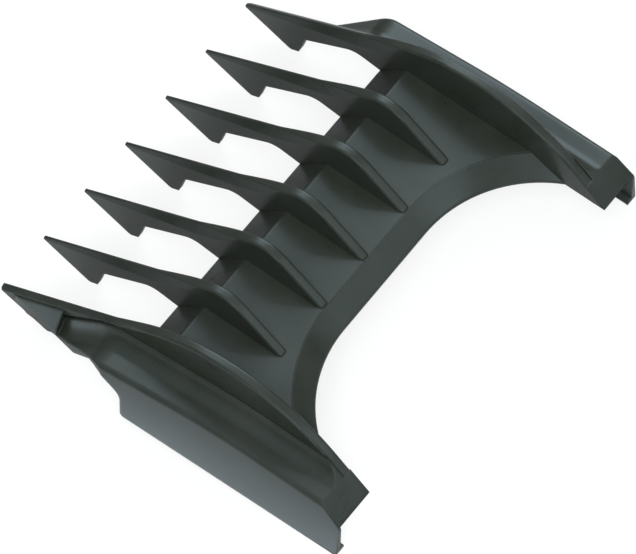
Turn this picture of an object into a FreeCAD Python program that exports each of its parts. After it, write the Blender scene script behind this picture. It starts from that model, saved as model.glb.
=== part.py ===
"""Guide comb for a hair or wool clipper: one black moulding, modelled region by region.

Build axes: X across the comb, Y from the tooth tips to the rear, Z up from the blade, with the
tip of the middle tooth at the origin. Every region then gets one shared placement, which leans
the comb back until it stands on its tooth barbs and on the rear corners of its side skirts.
Lengths are in millimetres and angles in degrees.
"""

import FreeCAD, Part
import math
import os

import Sketcher

SIZES = {
    # teeth
    "tooth_count": 7,
    "pitch": 6.6,
    "tooth_width": 1.1,
    "tip_width": 0.35,
    "tip_height": 0.25,
    "rise_angle": 32.8,
    "barb_y": 5.6,
    "barb_drop": 2.3,
    "barb_land": 0.3,
    "barb_round": 0.4,
    "barb_rear_y": 6.8,
    "barb_rear_drop": 1.75,
    "notch_y": 7.55,
    "notch_z": 1.45,
    "notch_radius": 0.7,
    "heel_y": 13.6,
    "heel_z": 6.0,
    "heel_radius": 3.0,
    "crest_radius": 4.0,
    "fall_angle": 36.0,
    "rib_end_gap": 0.1,
    "ridge_round": 0.28,
    "roof_width": 0.24,
    "roof_depth": 2.0,
    "roof_full_y": 14.0,
    "roof_end_y": 20.0,
    # deck between the outer teeth
    "lip_y": 16.9,
    "lip_z": 5.7,
    "lip_land": 1.7,
    "deck_front_y": 20.1,
    "deck_top": 9.3,
    "deck_thickness": 2.1,
    "deck_edge_radius": 0.5,
    "rear_edge_y": 29.5,
    "hollow_reach": 3.95,
    "rear_edge_radius": 16.6,
    "bevel_run": 2.3,
    "bevel_land": 0.35,
    "land_round": 0.25,
    # side rails
    "arm_end_y": 41.8,
    "arm_bevel_run": 2.4,
    "ridge_radius": 17.6,
    "rail_drop": 0.45,
    "rail_front_y": 8.0,
    "crease_reach": 3.6,
    "flare_start_reach": 1.35,
    "flare_end_y": 14.5,
    "ramp_top_z": 7.1,
    "ramp_low_z": 0.8,
    "ramp_bend_radius": 4.0,
    "flange_bend_y": 29.0,
    "flange_bend_radius": 60.0,
    "cove_radius": 1.8,
    "crease_round": 0.5,
    "skirt_reach": 4.35,
    "skirt_wall": 0.75,
    "skirt_bottom": 2.2,
    "skirt_front_bottom": 1.2,
    "skirt_front_top_y": 15.2,
    "skirt_front_bend_y": 17.9,
    "skirt_front_bend_z": 4.5,
    "skirt_front_bend_radius": 1.5,
    "skirt_front_low_y": 18.2,
    "skirt_overrun": 0.1,
    "skirt_front_round": 0.5,
    "tab_front_z": 1.2,
    "tab_y": 10.9,
    "tab_z": 2.6,
    "tab_round": 0.8,
    "nose_y": 1.2,
    "nose_inset": 0.35,
    "nose_belly_y": 3.6,
    "nose_belly_drop": 0.55,
    "nose_rear_z": 1.25,
    "nose_fall": 2.6,
    # hooks that grip the clipper at the rear of the skirts
    "hook_length": 8.0,
    "hook_reach": 0.55,
    "hook_land": 0.35,
    "hook_rise": 0.5,
}


class Size:
    """A size that carries both its value and the sheet formula that gives it."""

    def __init__(self, value, formula):
        self.value = value
        self.formula = formula

    def __add__(self, other):
        other = as_size(other)
        return Size(self.value + other.value, f"({self.formula} + {other.formula})")

    def __sub__(self, other):
        other = as_size(other)
        return Size(self.value - other.value, f"({self.formula} - {other.formula})")

    def __mul__(self, other):
        other = as_size(other)
        return Size(self.value * other.value, f"({self.formula} * {other.formula})")

    def __truediv__(self, other):
        other = as_size(other)
        return Size(self.value / other.value, f"({self.formula} / {other.formula})")

    def __neg__(self):
        return Size(-self.value, f"(-1 * {self.formula})")


def as_size(number):
    """Give a plain number the same form as a named size."""
    if isinstance(number, Size):
        return number
    return Size(float(number), f"({float(number)})")


def sine(angle):
    return Size(math.sin(math.radians(angle.value)), f"sin({angle.formula})")


def cosine(angle):
    return Size(math.cos(math.radians(angle.value)), f"cos({angle.formula})")


def tangent(angle):
    return Size(math.tan(math.radians(angle.value)), f"tan({angle.formula})")


def arc_tangent(ratio):
    return Size(math.degrees(math.atan(ratio.value)), f"atan({ratio.formula})")


doc = FreeCAD.newDocument("guide_comb")
sheet = doc.addObject("Spreadsheet::Sheet", "Sizes")
size = {}
for row, (alias, number) in enumerate(SIZES.items(), start=1):
    sheet.set(f"A{row}", alias)
    sheet.set(f"B{row}", str(number))
    sheet.setAlias(f"B{row}", alias)
    size[alias] = Size(float(number), f"Sizes.{alias}")
doc.recompute()

# Places worked out from the driving sizes.
ORIGIN = as_size(0)
FAR = as_size(80)
outer_tooth_half = size["pitch"] * (size["tooth_count"] - 1) / 2
wall_inner_half = outer_tooth_half - size["tooth_width"] / 2
wall_outer_half = outer_tooth_half + size["tooth_width"] / 2
underside = size["deck_top"] - size["deck_thickness"]
rib_end_y = size["rear_edge_y"] - size["rib_end_gap"]
deck_over_tip = size["deck_top"] - size["tip_height"] / 2
crest_y = (deck_over_tip + tangent(size["fall_angle"]) * rib_end_y) / (
    tangent(size["rise_angle"]) + tangent(size["fall_angle"]))
arm_slope = size["deck_thickness"] / size["arm_bevel_run"]
ridge_y = (deck_over_tip + arm_slope * size["arm_end_y"]) / (tangent(size["rise_angle"]) + arm_slope)
rail_ridge_y = ridge_y + size["rail_drop"] / (tangent(size["rise_angle"]) + arm_slope)
arm_foot_y = size["arm_end_y"] + size["arm_bevel_run"]
barb_back_y = size["barb_y"] + size["barb_land"]
skirt_rear_y = arm_foot_y + size["skirt_overrun"]

# Half widths that follow the outer walls, whatever the pitch.
hollow_half = wall_inner_half + size["hollow_reach"]
nose_half = wall_outer_half - size["nose_inset"]
flare_start_half = wall_outer_half + size["flare_start_reach"]
crease_half = wall_outer_half + size["crease_reach"]
skirt_half = wall_outer_half + size["skirt_reach"]

# The comb leans back by this angle when it stands on a table.
rest_angle = arc_tangent((size["skirt_bottom"] + size["barb_drop"]) / (skirt_rear_y - barb_back_y))
rest_front_y = -(size["tip_height"] / 2) * sine(rest_angle)
rest_rear_y = arm_foot_y * cosine(rest_angle) + underside * sine(rest_angle)
rest_shift_y = -(rest_front_y + rest_rear_y) / 2
rest_lift = barb_back_y * sine(rest_angle) + size["barb_drop"] * cosine(rest_angle)


def new_body(name):
    """Start a region of the moulding, leaned back into the standing position."""
    body = doc.addObject("PartDesign::Body", name)
    body.Label = name
    body.Placement = FreeCAD.Placement(
        FreeCAD.Vector(0, 0, 0), FreeCAD.Rotation(FreeCAD.Vector(1, 0, 0), -rest_angle.value))
    body.setExpression("Placement.Rotation.Angle", (-rest_angle).formula)
    body.setExpression("Placement.Base.y", rest_shift_y.formula)
    body.setExpression("Placement.Base.z", rest_lift.formula)
    return body


def new_sketch(body, name, plane, offset=ORIGIN):
    """Attach a sketch to one of the body's own origin planes, moved along that plane's normal."""
    sketch = body.newObject("Sketcher::SketchObject", name)
    support = [feature for feature in body.Origin.OriginFeatures if feature.Role == plane][0]
    sketch.AttachmentSupport = [(support, "")]
    sketch.MapMode = "FlatFace"
    sketch.AttachmentOffset = FreeCAD.Placement(
        FreeCAD.Vector(0, 0, offset.value), FreeCAD.Rotation())
    sketch.setExpression("AttachmentOffset.Base.z", offset.formula)
    return sketch


def bind(sketch, kind, *where):
    """Add a dimension whose value follows the sheet."""
    *targets, amount = where
    number = sketch.addConstraint(Sketcher.Constraint(kind, *targets, amount.value))
    sketch.setExpression(f"Constraints[{number}]", amount.formula)


def pin(sketch, geometry, end, across, along):
    """Hold a point at its two coordinates in the sketch."""
    bind(sketch, "DistanceX", -1, 1, geometry, end, across)
    bind(sketch, "DistanceY", -1, 1, geometry, end, along)


def draw_path(sketch, corners, closed=True):
    """Draw straight runs through the corners; a corner with a third entry is rounded by it."""
    count = len(corners)
    points = [FreeCAD.Vector(corner[0].value, corner[1].value, 0) for corner in corners]
    radii = [corner[2] if len(corner) > 2 else None for corner in corners]
    run_count = count if closed else count - 1
    starts = list(points)
    ends = list(points)
    bends = {}
    for index in range(count):
        if radii[index] is None:
            continue
        towards_last = (points[index - 1] - points[index]).normalize()
        towards_next = (points[(index + 1) % count] - points[index]).normalize()
        half_turn = towards_last.getAngle(towards_next) / 2
        reach = radii[index].value / math.tan(half_turn)
        ends[index] = points[index] + towards_last * reach
        starts[index] = points[index] + towards_next * reach
        middle = (towards_last + towards_next).normalize()
        centre = points[index] + middle * (radii[index].value / math.sin(half_turn))
        bends[index] = (centre, towards_next.cross(towards_last).z > 0)
    runs = {}
    for index in range(run_count):
        after = (index + 1) % count
        runs[index] = sketch.addGeometry(Part.LineSegment(starts[index], ends[after]), False)
    for index in range(count):
        before = (index - 1) % count
        if index in bends:
            centre, turns_left = bends[index]
            first, last = (1, 2) if turns_left else (2, 1)
            opening = ends[index] - centre if turns_left else starts[index] - centre
            closing = starts[index] - centre if turns_left else ends[index] - centre
            circle = Part.Circle(centre, FreeCAD.Vector(0, 0, 1), radii[index].value)
            arc = sketch.addGeometry(Part.ArcOfCircle(
                circle, math.atan2(opening.y, opening.x), math.atan2(closing.y, closing.x)), False)
            corner = sketch.addGeometry(Part.Point(points[index]), True)
            sketch.addConstraint(Sketcher.Constraint("Tangent", runs[before], 2, arc, first))
            sketch.addConstraint(Sketcher.Constraint("Tangent", arc, last, runs[index], 1))
            sketch.addConstraint(Sketcher.Constraint("PointOnObject", corner, 1, runs[before]))
            sketch.addConstraint(Sketcher.Constraint("PointOnObject", corner, 1, runs[index]))
            bind(sketch, "Radius", arc, radii[index])
            pin(sketch, corner, 1, corners[index][0], corners[index][1])
        elif closed or 0 < index < count - 1:
            sketch.addConstraint(Sketcher.Constraint("Coincident", runs[before], 2, runs[index], 1))
            pin(sketch, runs[index], 1, corners[index][0], corners[index][1])
        elif index == 0:
            pin(sketch, runs[0], 1, corners[0][0], corners[0][1])
        else:
            pin(sketch, runs[before], 2, corners[index][0], corners[index][1])


def add_pad(body, name, sketch, length, symmetric=False, backwards=False):
    pad = body.newObject("PartDesign::Pad", name)
    pad.Profile = (sketch, [""])
    pad.SideType = "Symmetric" if symmetric else "One side"
    pad.Length = length.value
    pad.setExpression("Length", length.formula)
    pad.Reversed = backwards
    doc.recompute()
    return pad


def add_pocket(body, name, sketch, length, symmetric=False, backwards=False):
    """Cut a sketch away, and make sure that the cut removed material."""
    volume_before = body.Shape.Volume
    pocket = body.newObject("PartDesign::Pocket", name)
    pocket.Profile = (sketch, [""])
    pocket.SideType = "Symmetric" if symmetric else "One side"
    pocket.Length = length.value
    pocket.setExpression("Length", length.formula)
    pocket.Reversed = backwards
    doc.recompute()
    if not 0 < body.Shape.Volume < volume_before - 1e-6:
        raise RuntimeError(f"{body.Name}.{name} cut nothing")
    return pocket


def round_edges(body, name, base, chosen, radius):
    """Round the edges of a feature that the chooser picks."""
    edges = [f"Edge{number}" for number, edge in enumerate(base.Shape.Edges, start=1) if chosen(edge)]
    fillet = body.newObject("PartDesign::Fillet", name)
    fillet.Base = (base, edges)
    fillet.Radius = radius.value
    fillet.setExpression("Radius", radius.formula)
    doc.recompute()
    return fillet


def tooth_front():
    """The outline that all the teeth share, from the tip down and back to the deck's lip."""
    return [
        (ORIGIN, size["tip_height"] / 2),
        (ORIGIN, -size["tip_height"] / 2),
        (size["barb_y"], -size["barb_drop"], size["barb_round"]),
        (barb_back_y, -size["barb_drop"]),
        (size["barb_rear_y"], -size["barb_rear_drop"]),
        (size["notch_y"], size["notch_z"], size["notch_radius"]),
        (size["heel_y"], size["heel_z"], size["heel_radius"]),
        (size["lip_y"], size["lip_z"]),
    ]


def ridge_height(along):
    """Height of the straight top of a tooth above the tips."""
    return size["tip_height"] / 2 + tangent(size["rise_angle"]) * along


def make_tooth(number):
    """One tooth with the rib that carries it; the first and last ribs are the side walls."""
    name = f"tooth_{number}"
    body = new_body(name)
    place = size["pitch"] * (number - 1) - outer_tooth_half
    outline = tooth_front()
    free_sides = (-1, 1)
    if number in (1, int(size["tooth_count"].value)):
        free_sides = (1,) if number == 1 else (-1,)
        outline += [
            (size["lip_y"] + size["lip_land"], size["lip_z"]),
            (size["deck_front_y"], underside),
            (size["arm_end_y"], underside),
            (size["arm_end_y"], size["deck_top"]),
            (ridge_y, ridge_height(ridge_y), size["ridge_radius"]),
        ]
    else:
        outline += [
            (size["deck_front_y"], size["deck_top"], size["deck_edge_radius"]),
            (rib_end_y, size["deck_top"]),
            (crest_y, ridge_height(crest_y), size["crest_radius"]),
        ]
    side = new_sketch(body, f"{name}_side", "YZ_Plane", place)
    draw_path(side, outline)
    slab = add_pad(body, f"{name}_slab", side, size["tooth_width"], symmetric=True)

    def on_ridge(edge):
        """Edges of the upper outline, from the tip back to the deck, on both faces of the slab."""
        middle = edge.CenterOfMass
        crosses = edge.BoundBox.XLength > size["tooth_width"].value / 2
        on_slope = ridge_height(as_size(middle.y)).value - middle.z < size["tip_height"].value / 2
        over_tip = middle.z > size["tip_height"].value
        return not crosses and over_tip and (on_slope or middle.z > size["deck_top"].value + 0.05)

    round_edges(body, f"{name}_soft_ridge", slab, on_ridge, size["ridge_round"])
    plan = new_sketch(body, f"{name}_plan", "XY_Plane")
    for side_sign in free_sides:
        near = size["tip_width"] * side_sign / 2
        far = size["tooth_width"] * side_sign / 2
        draw_path(plan, [
            (place + near, ORIGIN), (place + far, size["lip_y"]), (place + far * 3, size["lip_y"]),
            (place + far * 3, -size["tooth_width"]), (place + near, -size["tooth_width"])])
    add_pocket(body, f"{name}_taper", plan, FAR, symmetric=True)
    for side_sign in (-1, 1):
        depth = size["roof_depth"] if side_sign in free_sides else size["rail_drop"]
        cut_roof(body, f"{name}_roof_{'right' if side_sign < 0 else 'left'}", place, side_sign, depth)
    return body


def cut_roof(body, name, place, side_sign, depth):
    """Slope one side of a free tooth inwards to its narrow top; the cut runs out at the crest."""
    narrow = size["roof_width"] / 2
    full = size["tooth_width"] / 2
    cut_along_ridge(body, name, [
        (-size["tooth_width"], place + (narrow * 2 - full) * side_sign, place + full * side_sign),
        (size["roof_full_y"], place + (narrow * 2 - full) * side_sign, place + full * side_sign),
        (size["roof_end_y"], place + full * side_sign, place + full * side_sign * 1.2),
    ], depth, -depth, size["tooth_width"] * side_sign)


def cut_along_ridge(body, name, stations, top, foot, reach):
    """Cut away what lies beyond a slope that follows the ridge.

    Each station gives its place along the ridge and where the slope stands across, at its top
    and at its foot; top and foot are heights above the ridge.
    """
    sections = []
    for along, top_across, foot_across in stations:
        section = new_sketch(body, f"{name}_{len(sections)}", "XZ_Plane", -along)
        ridge = ridge_height(along)
        draw_path(section, [
            (top_across, ridge + top),
            (foot_across, ridge + foot),
            (foot_across + reach, ridge + foot),
            (foot_across + reach, ridge + top)])
        sections.append(section)
    volume_before = body.Shape.Volume
    loft = body.newObject("PartDesign::SubtractiveLoft", name)
    loft.Profile = (sections[0], [""])
    loft.Sections = [(section, [""]) for section in sections[1:]]
    loft.Ruled = True
    doc.recompute()
    if not 0 < body.Shape.Volume < volume_before - 1e-6:
        raise RuntimeError(f"{name} cut nothing")


def make_deck():
    """The plate that joins the teeth, turned down at the front and hollowed at the rear."""
    body = new_body("deck_plate")
    side = new_sketch(body, "deck_side", "YZ_Plane")
    rear_limit = size["rear_edge_y"] + size["rear_edge_radius"]
    draw_path(side, [
        (size["lip_y"], size["lip_z"]),
        (size["lip_y"] + size["lip_land"], size["lip_z"]),
        (size["deck_front_y"], underside),
        (rear_limit, underside),
        (rear_limit, size["deck_top"]),
        (size["deck_front_y"], size["deck_top"], size["deck_edge_radius"]),
    ])
    add_pad(body, "deck_slab", side, wall_inner_half * 2, symmetric=True)
    plan = new_sketch(body, "deck_plan", "XY_Plane")
    draw_path(plan, rear_hollow(ORIGIN, size["rear_edge_radius"]))
    add_pocket(body, "deck_hollow", plan, FAR, symmetric=True)
    return body


def rear_hollow(inset, radius):
    """Plan of the hollow rear edge: a deep rectangle with two large rounded corners."""
    half = hollow_half - inset
    front = size["rear_edge_y"] + inset
    return [(-half, FAR), (-half, front, radius), (half, front, radius), (half, FAR)]


def make_rim():
    """The bevelled edge that runs round the hollow from one side wall to the other."""
    body = new_body("rear_rim")
    half = hollow_half
    start_y = size["rear_edge_y"] + size["rear_edge_radius"]
    path = new_sketch(body, "rim_path", "XY_Plane", size["deck_top"])
    draw_path(path, [
        (half, start_y + size["bevel_run"]),
        (half, size["rear_edge_y"], size["rear_edge_radius"]),
        (-half, size["rear_edge_y"], size["rear_edge_radius"]),
        (-half, start_y + size["bevel_run"])], closed=False)
    section = new_sketch(body, "rim_section", "XZ_Plane", -(start_y + size["bevel_run"]))
    draw_path(section, [
        (half, size["deck_top"]),
        (half, underside),
        (half - size["bevel_run"], underside),
        (half - size["bevel_run"], underside + size["bevel_land"])])
    pipe = body.newObject("PartDesign::AdditivePipe", "rim_sweep")
    pipe.Profile = (section, [""])
    pipe.Spine = (path, [f"Edge{number}" for number in range(1, 6)])
    doc.recompute()
    ends = new_sketch(body, "rim_ends", "XY_Plane")
    for side_sign in (-1, 1):
        near = wall_inner_half * side_sign
        far = FAR * side_sign
        draw_path(ends, [(near, ORIGIN), (far, ORIGIN), (far, FAR), (near, FAR)])
    add_pocket(body, "rim_trim", ends, FAR, symmetric=True)

    def on_land(edge):
        """The edge between the bevel and its narrow land, all the way round the hollow."""
        middle = edge.CenterOfMass
        at_height = abs(middle.z - (underside + size["bevel_land"]).value) < size["bevel_land"].value / 4
        level = edge.BoundBox.ZLength < size["bevel_land"].value / 4
        return at_height and level and edge.Length > size["bevel_run"].value

    round_edges(body, "rim_soft_land", body.Tip, on_land, size["land_round"])
    return body


def make_rail(name, side_sign):
    """A side rail: coved flange, drafted skirt and the ramp that carries it to the outer tooth."""
    body = new_body(name)
    outward = side_sign > 0
    face = wall_outer_half * side_sign
    skirt_inner_half = skirt_half - size["skirt_wall"]

    side = new_sketch(body, f"{name}_side", "YZ_Plane", face)
    draw_path(side, [
        (size["rail_front_y"], ridge_height(size["rail_front_y"]) - size["rail_drop"]),
        (size["rail_front_y"], size["tab_front_z"]),
        (size["tab_y"], size["tab_z"], size["tab_round"]),
        (size["heel_y"], size["heel_z"]),
        (size["skirt_front_top_y"], size["heel_z"]),
        (size["skirt_front_bend_y"], size["skirt_front_bend_z"], size["skirt_front_bend_radius"]),
        (size["skirt_front_low_y"], size["skirt_front_bottom"], size["skirt_front_round"]),
        (skirt_rear_y, size["skirt_bottom"]),
        (skirt_rear_y, underside - size["bevel_land"]),
        (arm_foot_y, underside),
        (rail_ridge_y, ridge_height(rail_ridge_y) - size["rail_drop"], size["ridge_radius"]),
    ])
    block_half = skirt_half + size["skirt_wall"]
    add_pad(body, f"{name}_block", side, block_half - wall_outer_half, backwards=not outward)
    toe = new_sketch(body, f"{name}_toe", "YZ_Plane", face)
    draw_path(toe, [
        (size["arm_end_y"], underside),
        (arm_foot_y, underside),
        (size["arm_end_y"], size["deck_top"])])
    add_pad(body, f"{name}_end", toe, size["tooth_width"], backwards=outward)

    path = new_sketch(body, f"{name}_path", "YZ_Plane")
    draw_path(path, [
        (FAR, size["deck_top"]),
        (size["flange_bend_y"], size["deck_top"], size["flange_bend_radius"]),
        (size["flare_end_y"], size["ramp_top_z"], size["ramp_bend_radius"]),
        (size["rail_front_y"] - size["cove_radius"],
         size["ramp_low_z"] - size["cove_radius"] * tangent(size["rise_angle"]))], closed=False)
    section = new_sketch(body, f"{name}_cove", "XZ_Plane", -FAR)
    top = size["deck_top"] + size["cove_radius"] * 6
    corners = [
        (face, size["deck_top"], size["cove_radius"]),
        (FAR * side_sign, size["deck_top"]),
        (FAR * side_sign, top),
        (face, top)]
    draw_path(section, corners)
    cove = body.newObject("PartDesign::SubtractivePipe", f"{name}_sweep")
    cove.Profile = (section, [""])
    cove.Spine = (path, [f"Edge{number}" for number in range(1, 6)])
    doc.recompute()

    under = new_sketch(body, f"{name}_under", "YZ_Plane", face)
    draw_path(under, [
        (size["heel_y"], -FAR),
        (size["heel_y"], size["heel_z"]),
        (size["flange_bend_y"], underside, size["flange_bend_radius"]),
        (FAR, underside),
        (FAR, -FAR)])
    add_pocket(body, f"{name}_hollow", under, skirt_inner_half - wall_outer_half, backwards=outward)

    draft_slope = (skirt_half - crease_half) / (size["deck_top"] - size["skirt_bottom"])
    draft = new_sketch(body, f"{name}_draft", "XZ_Plane")
    draw_path(draft, [
        ((crease_half - draft_slope * size["cove_radius"]) * side_sign,
         size["deck_top"] + size["cove_radius"]),
        ((crease_half + draft_slope * size["deck_top"]) * side_sign, ORIGIN),
        (FAR * side_sign, ORIGIN),
        (FAR * side_sign, size["deck_top"] + size["cove_radius"])])
    add_pocket(body, f"{name}_drafted", draft, FAR * 2, symmetric=True)

    nose = new_sketch(body, f"{name}_nose_side", "YZ_Plane", face)
    draw_path(nose, [
        (size["nose_y"], ridge_height(size["nose_y"]) - size["tip_height"]),
        (size["nose_y"], -size["tip_height"] / 2),
        (size["nose_belly_y"], -size["nose_belly_drop"]),
        (size["rail_front_y"], size["nose_rear_z"]),
        (size["rail_front_y"], ridge_height(size["rail_front_y"]) - size["rail_drop"])])
    add_pad(body, f"{name}_nose", nose, flare_start_half - wall_outer_half, backwards=not outward)

    nose_slope = (flare_start_half - wall_outer_half) / size["nose_fall"]
    nose_top_across = face - nose_slope * size["tooth_width"] * side_sign
    nose_foot_across = (wall_outer_half + nose_slope * size["nose_fall"] * 2) * side_sign
    cut_along_ridge(body, f"{name}_nose_top", [
        (-size["tooth_width"], nose_top_across, nose_foot_across),
        (size["rail_front_y"], nose_top_across, nose_foot_across),
    ], size["tooth_width"] - size["rail_drop"], -size["nose_fall"] * 2 - size["rail_drop"],
        size["tooth_width"] * side_sign)

    flare_slope = (crease_half - flare_start_half) / (
        size["flare_end_y"] - size["rail_front_y"])
    flare = new_sketch(body, f"{name}_flare", "XY_Plane")
    rear_half = flare_start_half + flare_slope * (size["arm_end_y"] - size["rail_front_y"])
    draw_path(flare, [
        (nose_half * side_sign, ORIGIN),
        (flare_start_half * side_sign, size["rail_front_y"]),
        (rear_half * side_sign, size["arm_end_y"]),
        (FAR * side_sign, size["arm_end_y"]),
        (FAR * side_sign, ORIGIN)])
    add_pocket(body, f"{name}_flared", flare, FAR, symmetric=True)

    def on_crease(edge):
        """The long edge between the cove and the skirt, behind the ramp."""
        middle = edge.CenterOfMass
        lengthwise = edge.BoundBox.XLength < size["crease_round"].value < edge.BoundBox.YLength
        behind_ramp = size["flare_end_y"].value + 1 < middle.y < size["arm_end_y"].value
        outside = abs(middle.x) > crease_half.value - size["crease_round"].value
        return lengthwise and behind_ramp and outside and middle.z > size["ramp_top_z"].value + 0.1

    round_edges(body, f"{name}_soft_crease", body.Tip, on_crease, size["crease_round"])
    return body


def make_hook(name, side_sign):
    """A short lip inside the rear of a skirt that snaps under the clipper's blade."""
    body = new_body(name)
    inner = skirt_half - size["skirt_wall"]
    section = new_sketch(body, f"{name}_section", "XZ_Plane", -skirt_rear_y)
    draw_path(section, [
        (inner * side_sign, size["skirt_bottom"]),
        ((inner - size["hook_reach"]) * side_sign, size["skirt_bottom"]),
        ((inner - size["hook_reach"]) * side_sign, size["skirt_bottom"] + size["hook_land"]),
        (inner * side_sign, size["skirt_bottom"] + size["hook_land"] + size["hook_rise"])])
    add_pad(body, f"{name}_lip", section, size["hook_length"])
    return body


bodies = [make_tooth(number) for number in range(1, int(size["tooth_count"].value) + 1)]
bodies += [make_deck(), make_rim()]
for side_name, side_sign in (("left", 1), ("right", -1)):
    bodies.append(make_rail(f"{side_name}_rail", side_sign))
    bodies.append(make_hook(f"{side_name}_hook", side_sign))
doc.recompute()

for feature in doc.Objects:
    if {"Invalid", "Error"} & set(feature.State):
        raise RuntimeError(f"{feature.Label} failed: {feature.State}")
for body in bodies:
    if body.Shape.isNull() or not body.Shape.isValid() or len(body.Shape.Solids) != 1:
        raise RuntimeError(f"{body.Label} is not one sound solid")

os.makedirs("parts", exist_ok=True)
for body in bodies:
    body.Shape.exportStep(f"parts/{body.Label}.step")
    box = body.Shape.BoundBox
    print(f"{body.Label:12s} volume {body.Shape.Volume:9.2f}  box {box.XMin:.2f} {box.YMin:.2f} "
          f"{box.ZMin:.2f} to {box.XMax:.2f} {box.YMax:.2f} {box.ZMax:.2f}")
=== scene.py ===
"""Looks for the clipper guide comb: one black moulded plastic, studio floor, light and camera."""

import bpy
from mathutils import Matrix, Vector


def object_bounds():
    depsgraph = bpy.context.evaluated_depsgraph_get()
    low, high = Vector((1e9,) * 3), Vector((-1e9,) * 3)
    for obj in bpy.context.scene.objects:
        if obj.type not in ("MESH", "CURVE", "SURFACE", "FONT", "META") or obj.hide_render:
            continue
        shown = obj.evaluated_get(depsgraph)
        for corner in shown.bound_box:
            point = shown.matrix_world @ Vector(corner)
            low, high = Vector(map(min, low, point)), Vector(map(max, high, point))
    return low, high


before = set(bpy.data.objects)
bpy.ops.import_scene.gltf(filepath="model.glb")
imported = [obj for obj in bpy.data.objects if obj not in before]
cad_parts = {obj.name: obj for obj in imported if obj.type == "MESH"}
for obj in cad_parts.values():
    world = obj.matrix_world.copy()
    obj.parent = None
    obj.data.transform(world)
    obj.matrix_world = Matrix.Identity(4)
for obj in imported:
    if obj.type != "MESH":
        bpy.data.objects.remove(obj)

cad_low, cad_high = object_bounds()

MM = 0.001
WHITE = (1, 1, 1, 1)

# ---------------------------------------------------------------- plastic values
EDGE_SOFTNESS = 0.2 * MM
RAIL_EDGE_SOFTNESS = 0.35 * MM
EDGE_SAMPLES = 6

GRAIN_SCALE = 9000.0
CLOUD_SCALE = 260.0
WAVE_SCALE = 70.0
HAIR_SCALE = 6500.0
HAIR_TURN = (0.12, 0.0, 0.1)
HAIR_STRETCH = (1.0, 0.04, 1.0)

GRAIN_HEIGHT = 0.0018 * MM
WAVE_HEIGHT = 0.12 * MM
SCRATCH_DEPTH = 0.001 * MM

SMOOTHEST, ROUGHEST = 0.27, 0.36
GRAIN_ROUGHNESS = 0.02
SCRATCH_ROUGHNESS = 0.08
RUBBED_POLISH = 0.08
RUBBED_PALENESS = 0.8

DARK_TONE = (0.0175, 0.0205, 0.0150, 1)
LIGHT_TONE = (0.0230, 0.0260, 0.0205, 1)
GLOSS_TINT = (0.74, 0.91, 1.0, 1)
PLASTIC_IOR = 1.5

# ---------------------------------------------------------------- floor values
# Reflections do not see the white background that the camera sees. They see the paper painted darker,
# a painted shade, and a strip and a spot that glow at about twice white, painted reflections of light on
# the near skirt and its nose. Both places suit the camera below and no other.
SHEET_SIZE = 6.0
PAPER_WHITE = 0.86
PAPER_PAINTED_DARKER_IN_REFLECTION = 0.42
PAINTED_GLOW_IN_REFLECTION = (1.9, 2.1, 2.25, 1)
GLOW_SHARE = 0.8

PAINTED_STRIP_STRENGTH = 1.1
STRIP_WIDTH = 5.5 * MM
STRIP_FRONT = (-13 * MM, -8 * MM)
STRIP_REAR = (0.0, 12 * MM)
STRIP_REAR_SHARE = 0.82
PAINTED_SPOT_STRENGTH = 1.25
SPOT_INNER, SPOT_OUTER = 4 * MM, 6 * MM
SPOT_CENTRE = (cad_high.x + 3.5 * MM, cad_low.y - 3.5 * MM, 0.0)

# ---------------------------------------------------------------- light values
COOL_WHITE = (0.94, 0.985, 1.0)
SKY_HEIGHTS = (0.1, 0.9)
SKY_STRENGTHS = (0.08, 0.6)

# ---------------------------------------------------------------- camera values
CAMERA_TO = Vector((0.379, 0.3681, 0.8469)).normalized()
CAMERA_UP = Vector((-0.705, -0.4778, 0.5232))
AIM = Vector((2.52, 3.56, 4.70)) * MM
CAMERA_DISTANCE = 0.8
VIEW_WIDTH = 0.0621
SENSOR = 36.0
CLIP_NEAR, CLIP_FAR = 0.05, 20.0


# ---------------------------------------------------------------- node helpers
class Nodes:
    """Short calls for building one node tree."""

    def __init__(self, tree):
        self.tree = tree
        self.tree.nodes.clear()

    def add(self, kind, settings=None, **inputs):
        """A new node; an underscore in an input's name stands for a space."""
        node = self.tree.nodes.new(kind)
        for name, value in (settings or {}).items():
            setattr(node, name, value)
        for name, value in inputs.items():
            self.put(node, name.replace("_", " "), value)
        return node

    def put(self, node, name, value):
        """Link a socket, or set a constant, on the input with this name or number."""
        socket = node.inputs[name]
        if isinstance(value, bpy.types.NodeSocket):
            self.tree.links.new(value, socket)
        else:
            socket.default_value = value

    def math(self, operation, first, second, clamp=False):
        node = self.add("ShaderNodeMath", {"operation": operation, "use_clamp": clamp})
        self.put(node, 0, first)
        self.put(node, 1, second)
        return node.outputs[0]

    def spread(self, value, low_in, high_in, low_out, high_out):
        """Carry one range over to another, held at both ends."""
        node = self.add("ShaderNodeMapRange", Value=value, From_Min=low_in, From_Max=high_in,
                        To_Min=low_out, To_Max=high_out)
        return node.outputs["Result"]

    def noise(self, place, scale, detail, roughness):
        node = self.add("ShaderNodeTexNoise", Vector=place, Scale=scale, Detail=detail,
                        Roughness=roughness)
        return node.outputs["Fac"]

    def colour_mix(self, factor, first, second):
        node = self.add("ShaderNodeMix", {"data_type": "RGBA", "clamp_factor": False}, Factor=factor)
        self.put(node, 6, first)
        self.put(node, 7, second)
        return node.outputs[2]

    def shader_mix(self, factor, first, second):
        node = self.add("ShaderNodeMixShader", Fac=factor)
        self.put(node, 1, first.outputs[0])
        self.put(node, 2, second.outputs[0])
        return node.outputs[0]


def new_material(name):
    material = bpy.data.materials.new(name)
    material.use_nodes = True
    return material, Nodes(material.node_tree)


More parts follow.
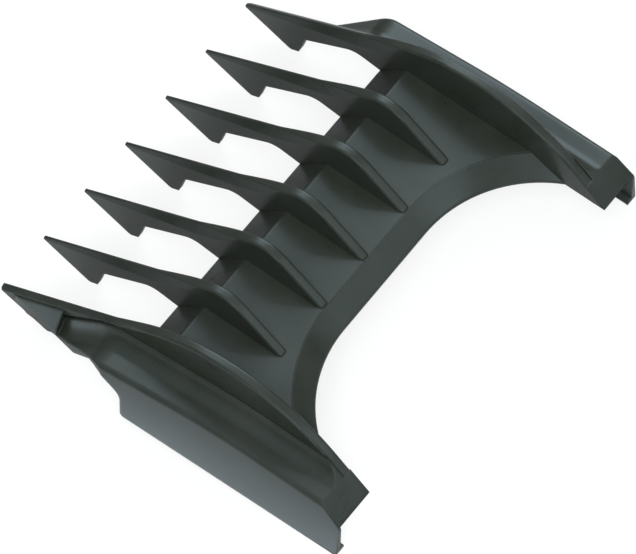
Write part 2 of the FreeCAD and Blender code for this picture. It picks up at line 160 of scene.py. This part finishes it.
# ---------------------------------------------------------------- black plastic
def black_plastic(name, edge_softness):
    """Satin injection-moulded plastic: fine grain, slow waves, hairline scratches, worn edges."""
    material, n = new_material(name)
    place = n.add("ShaderNodeTexCoord").outputs["Object"]

    grain = n.noise(place, GRAIN_SCALE, 2.0, 0.5)
    cloud = n.noise(place, CLOUD_SCALE, 4.0, 0.55)
    wave = n.noise(place, WAVE_SCALE, 2.0, 0.5)

    along = n.add("ShaderNodeMapping", Vector=place, Rotation=HAIR_TURN, Scale=HAIR_STRETCH)
    hairs = n.noise(along.outputs["Vector"], HAIR_SCALE, 2.0, 0.5)
    scratches = n.math("MULTIPLY", n.spread(hairs, 0.64, 0.84, 0.0, 1.0),
                       n.spread(cloud, 0.5, 0.7, 0.0, 1.0))

    soft = n.add("ShaderNodeBevel", {"samples": EDGE_SAMPLES}, Radius=edge_softness).outputs["Normal"]
    flat = n.add("ShaderNodeNewGeometry").outputs["Normal"]
    turned = n.add("ShaderNodeVectorMath", {"operation": "DOT_PRODUCT"})
    n.put(turned, 0, soft)
    n.put(turned, 1, flat)
    rubbed = n.math("MULTIPLY", n.spread(turned.outputs["Value"], 0.99, 0.85, 0.0, 1.0),
                    n.spread(cloud, 0.4, 0.6, 0.2, 1.0))

    roughness = n.math("ADD", n.spread(cloud, 0.3, 0.7, SMOOTHEST, ROUGHEST),
                       n.spread(grain, 0.3, 0.7, -GRAIN_ROUGHNESS, GRAIN_ROUGHNESS))
    roughness = n.math("ADD", roughness, n.math("MULTIPLY", scratches, SCRATCH_ROUGHNESS), clamp=True)
    roughness = n.math("SUBTRACT", roughness, n.math("MULTIPLY", rubbed, RUBBED_POLISH))

    paleness = n.math("ADD", n.spread(cloud, 0.35, 0.65, 0.0, 1.0),
                      n.math("MULTIPLY", rubbed, RUBBED_PALENESS))
    tone = n.colour_mix(paleness, DARK_TONE, LIGHT_TONE)

    height = n.math("ADD", n.math("MULTIPLY", grain, GRAIN_HEIGHT), n.math("MULTIPLY", wave, WAVE_HEIGHT))
    height = n.math("SUBTRACT", height, n.math("MULTIPLY", scratches, SCRATCH_DEPTH))
    bump = n.add("ShaderNodeBump", Strength=1.0, Distance=1.0, Height=height, Normal=soft)

    shader = n.add("ShaderNodeBsdfPrincipled", Base_Color=tone, Roughness=roughness,
                   Normal=bump.outputs["Normal"], IOR=PLASTIC_IOR, Specular_Tint=GLOSS_TINT)
    n.add("ShaderNodeOutputMaterial", Surface=shader.outputs["BSDF"])
    return material


plastic = black_plastic("black_plastic", EDGE_SOFTNESS)
rail_plastic = black_plastic("black_plastic_rail", RAIL_EDGE_SOFTNESS)
for name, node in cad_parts.items():
    node.data.materials.clear()
    node.data.materials.append(rail_plastic if name.endswith("_rail") else plastic)


# ---------------------------------------------------------------- floor
def painted_reflection_places(n):
    """Painted reflection: how much the floor glows in a reflection, a strip beside the near skirt and a spot
    by its nose.
    """
    place = n.add("ShaderNodeTexCoord").outputs["Object"]
    parts = n.add("ShaderNodeSeparateXYZ", Vector=place)
    across, along = parts.outputs["X"], parts.outputs["Y"]
    beside = n.math("GREATER_THAN", across, cad_high.x)
    beside = n.math("MULTIPLY", beside, n.spread(along, *STRIP_FRONT, 0.0, 1.0))
    beside = n.math("MULTIPLY", beside, n.spread(along, *STRIP_REAR, 1.0, STRIP_REAR_SHARE))
    strip = n.math("MULTIPLY", beside, n.spread(across, cad_high.x, cad_high.x + STRIP_WIDTH,
                                                PAINTED_STRIP_STRENGTH, 0.0))
    away = n.add("ShaderNodeVectorMath", {"operation": "DISTANCE"}, Vector=place)
    n.put(away, 1, SPOT_CENTRE)
    spot = n.spread(away.outputs["Value"], SPOT_INNER, SPOT_OUTER, PAINTED_SPOT_STRENGTH, 0.0)
    return n.math("MAXIMUM", strip, spot)


def white_floor():
    """A wide matt sheet, white to the camera, that keeps the shadow; reflections see painted shade and a
    painted glow on it.
    """
    material, n = new_material("studio_white_painted_reflections")
    path = n.add("ShaderNodeLightPath")
    in_gloss = path.outputs["Is Glossy Ray"]
    # painted shade: in reflections the paper is darker than it is to the camera
    diffuse = n.add("ShaderNodeBsdfDiffuse", Color=n.spread(in_gloss, 0.0, 1.0, PAPER_WHITE, PAPER_PAINTED_DARKER_IN_REFLECTION))
    glow = n.add("ShaderNodeEmission", Color=n.colour_mix(in_gloss, WHITE, PAINTED_GLOW_IN_REFLECTION), Strength=1.0)
    seen = n.math("MAXIMUM", path.outputs["Is Camera Ray"], path.outputs["Is Transmission Ray"])
    # painted reflection: the strip and spot glow only in reflections, lighting the near skirt and nose where
    # no lamp is
    glossy = n.math("MULTIPLY", in_gloss, painted_reflection_places(n))
    share = n.math("MULTIPLY", n.math("MAXIMUM", seen, glossy), GLOW_SHARE)
    n.add("ShaderNodeOutputMaterial", Surface=n.shader_mix(share, diffuse, glow))
    return material


bpy.ops.mesh.primitive_plane_add(size=SHEET_SIZE, location=(0, 0, cad_low.z))
floor = bpy.context.object
floor.name = "studio_floor"
floor.data.materials.append(white_floor())

# ---------------------------------------------------------------- light
# The sky is white to the camera only. Reflections and the object's light get the dim sky.
world = bpy.data.worlds.new("studio_world")
bpy.context.scene.world = world
world.use_nodes = True
sky = Nodes(world.node_tree)
direction = sky.add("ShaderNodeTexCoord").outputs["Generated"]
rise = sky.add("ShaderNodeSeparateXYZ", Vector=direction).outputs["Z"]
dim = sky.add("ShaderNodeBackground", Color=WHITE, Strength=sky.spread(rise, *SKY_HEIGHTS, *SKY_STRENGTHS))
white = sky.add("ShaderNodeBackground", Color=WHITE, Strength=1.0)
camera_ray = sky.add("ShaderNodeLightPath").outputs["Is Camera Ray"]
sky.add("ShaderNodeOutputWorld", Surface=sky.shader_mix(camera_ray, dim, white))


def area_light(name, place, side, watts):
    """A square softbox that faces the middle of the floor."""
    data = bpy.data.lights.new(name, "AREA")
    data.shape = "RECTANGLE"
    data.size = data.size_y = side
    data.energy = watts
    data.color = COOL_WHITE
    lamp = bpy.data.objects.new(name, data)
    bpy.context.collection.objects.link(lamp)
    lamp.location = place
    lamp.rotation_euler = (-Vector(place)).to_track_quat("-Z", "Y").to_euler()
    return lamp


area_light("top_softbox", place=(-0.46, -0.22, 0.47), side=0.45, watts=2.5)
area_light("rear_left_card", place=(-0.12, 0.62, 0.36), side=0.3, watts=0.55)
area_light("rear_right_card", place=(0.55, 0.30, 0.36), side=0.3, watts=0.8)
fill = area_light("fill_softbox", place=(0.30, 0.25, 0.60), side=0.4, watts=5.0)
fill.visible_glossy = False  # it lights the plastic's own colour and shows in no reflection

# ---------------------------------------------------------------- camera
camera_data = bpy.data.cameras.new("camera")
camera_data.sensor_width = SENSOR
camera_data.lens = SENSOR * CAMERA_DISTANCE / VIEW_WIDTH
camera_data.clip_start, camera_data.clip_end = CLIP_NEAR, CLIP_FAR
camera = bpy.data.objects.new("camera", camera_data)
bpy.context.collection.objects.link(camera)
right = CAMERA_UP.cross(CAMERA_TO).normalized()
up = CAMERA_TO.cross(right)
turn = Matrix((right, up, CAMERA_TO)).transposed().to_4x4()
camera.matrix_world = Matrix.Translation(AIM + CAMERA_TO * CAMERA_DISTANCE) @ turn
bpy.context.scene.camera = camera

bpy.context.scene.view_settings.view_transform = "Standard"
